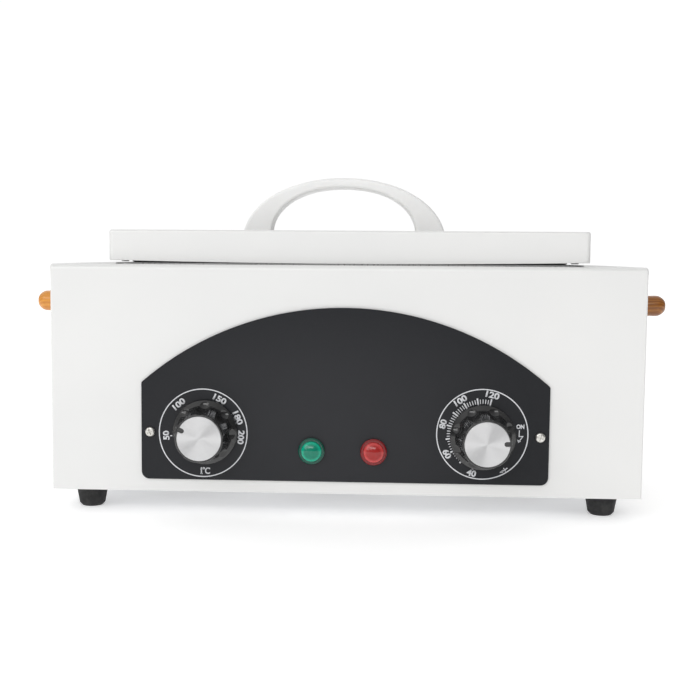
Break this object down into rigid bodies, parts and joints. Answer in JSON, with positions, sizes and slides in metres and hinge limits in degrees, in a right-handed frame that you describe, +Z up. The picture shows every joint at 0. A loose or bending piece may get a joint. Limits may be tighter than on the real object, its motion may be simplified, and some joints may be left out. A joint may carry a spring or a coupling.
{
  "type": "dry heat sterilizer",
  "caption": "Benchtop dry heat sterilizer: white steel box with a charcoal arched front panel, temperature and timer dials, pilot lamps and a hinged insulated lid over a steel chamber.",
  "frame": {"origin": "middle of the whole object's footprint, on the plane under the rubber feet", "axes": "+X to the right seen from the front, +Y from the dials towards the back, +Z up; the lid is closed at rest"},
  "size_m": [0.3952, 0.2166, 0.1967],
  "materials": {
    "case_paint": "satin",
    "panel_charcoal": "satin",
    "knob_black": "gloss",
    "cap_aluminium": "satin",
    "handle_white": "satin",
    "green_lens": "gloss",
    "red_lens": "gloss",
    "bulb_glass": "gloss",
    "black_plastic": "matte",
    "bakelite": "satin",
    "foot_rubber": "matte",
    "silicone": "matte",
    "turned_wood": "satin",
    "stainless": "satin",
    "heater_sheath": "satin",
    "zinc_steel": "satin",
    "nickel_screw": "satin",
    "copper": "satin",
    "brass_pin": "satin",
    "mineral_wool": "matte",
    "steatite": "satin",
    "wire_sleeve": "matte"
  },
  "bodies": {
    "housing": {"outer_shell": "case_paint", "bottom_plate": "zinc_steel", "bottom_screws": "nickel_screw", "front_left_foot": "foot_rubber", "front_right_foot": "foot_rubber", "rear_left_foot": "foot_rubber", "rear_right_foot": "foot_rubber", "foot_screws": "nickel_screw", "front_panel": "panel_charcoal", "panel_screws": "nickel_screw", "panel_nuts": "nickel_screw", "thermostat_body": "bakelite", "timer_body": "bakelite", "control_nuts": "nickel_screw", "green_lamp_lens": "green_lens", "red_lamp_lens": "red_lens", "green_lamp_body": "black_plastic", "red_lamp_body": "black_plastic", "neon_bulbs": "bulb_glass", "lamp_clips": "zinc_steel", "chamber_tank": "stainless", "tank_clips": "zinc_steel", "heating_element": "heater_sheath", "heater_clamp_plate": "zinc_steel", "heater_studs": "nickel_screw", "thermal_cutout": "zinc_steel", "thermostat_bulb": "copper", "insulation_blanket": "mineral_wool", "terminal_block": "steatite", "wiring_loom": "wire_sleeve", "power_inlet": "black_plastic", "inlet_pins": "brass_pin", "inlet_screws": "nickel_screw", "right_side_knob": "turned_wood", "left_side_knob": "turned_wood", "side_knob_washers": "nickel_screw", "side_knob_studs": "nickel_screw", "left_hinge_base_leaf": "stainless", "right_hinge_base_leaf": "stainless", "hinge_pins": "nickel_screw", "hinge_base_screws": "nickel_screw", "instrument_tray": "stainless", "tray_handles": "stainless"},
    "temperature_dial": {"temperature_knob": "knob_black", "temperature_knob_cap": "cap_aluminium", "thermostat_shaft": "nickel_screw"},
    "timer_dial": {"timer_knob": "knob_black", "timer_knob_cap": "cap_aluminium", "timer_shaft": "nickel_screw"},
    "lid": {"lid_shell": "case_paint", "lid_liner": "stainless", "lid_insulation": "mineral_wool", "lid_gasket": "silicone", "lid_handle": "handle_white", "lid_handle_screws": "nickel_screw", "lid_liner_rivets": "cap_aluminium", "left_hinge_lid_leaf": "stainless", "right_hinge_lid_leaf": "stainless", "hinge_lid_screws": "nickel_screw"}
  },
  "joints": [
    {"name": "lid_hinge", "type": "hinge", "parent": "housing", "child": "lid", "pos_m": [0, 0.0966, 0.1468], "axis": [-1, 0, 0], "range_deg": [0, 100]},
    {"name": "temperature_knob_turn", "type": "hinge", "parent": "housing", "child": "temperature_dial", "pos_m": [-0.0787, -0.0818, 0.0484], "axis": [0, -1, 0], "range_deg": [-176, 59]},
    {"name": "timer_knob_turn", "type": "hinge", "parent": "housing", "child": "timer_dial", "pos_m": [0.0784, -0.0818, 0.0477], "axis": [0, -1, 0], "range_deg": [-286, 11]}
  ]
}
